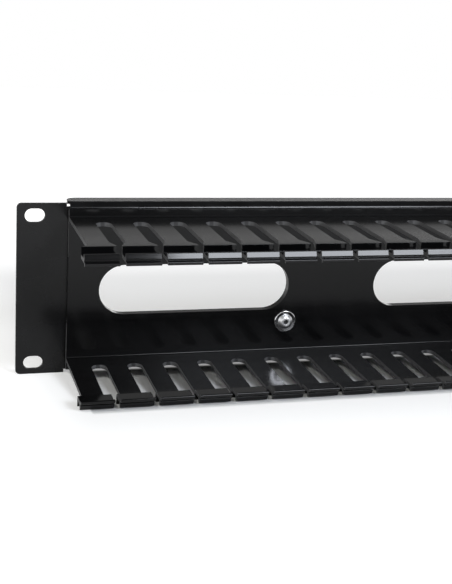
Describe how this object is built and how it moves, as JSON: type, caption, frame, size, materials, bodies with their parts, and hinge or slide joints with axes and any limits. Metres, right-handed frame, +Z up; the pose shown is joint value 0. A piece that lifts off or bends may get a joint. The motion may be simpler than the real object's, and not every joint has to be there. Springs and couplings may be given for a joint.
{
  "type": "horizontal cable manager",
  "caption": "Rack panel with bent edges that carries a slotted finger duct, so patch cables run along the trough, drop out between the fingers or pass through to the rear.",
  "frame": {"origin": "centre of the four mounting slots, on the rear face of the ears that lies against the rack rails", "axes": "+X along the panel, +Y out of the rear face towards the rails, +Z up; the fingers point to -Y"},
  "size_m": [0.4826, 0.079, 0.0884],
  "materials": {
    "powder_coat": "satin black powder coat",
    "duct_plastic": "glossy black extruded plastic",
    "washer_zinc": "bright zinc plate",
    "rivet_aluminium": "bright drawn aluminium",
    "mandrel_steel": "plain broken steel"
  },
  "bodies": {
    "root": {"rack_panel": "powder_coat", "finger_duct": "duct_plastic", "washer_upper_left": "washer_zinc", "rivet_upper_left": "rivet_aluminium", "mandrel_upper_left": "mandrel_steel", "washer_lower_left": "washer_zinc", "rivet_lower_left": "rivet_aluminium", "mandrel_lower_left": "mandrel_steel", "washer_upper_right": "washer_zinc", "rivet_upper_right": "rivet_aluminium", "mandrel_upper_right": "mandrel_steel", "washer_lower_right": "washer_zinc", "rivet_lower_right": "rivet_aluminium", "mandrel_lower_right": "mandrel_steel"}
  },
  "joints": []
}
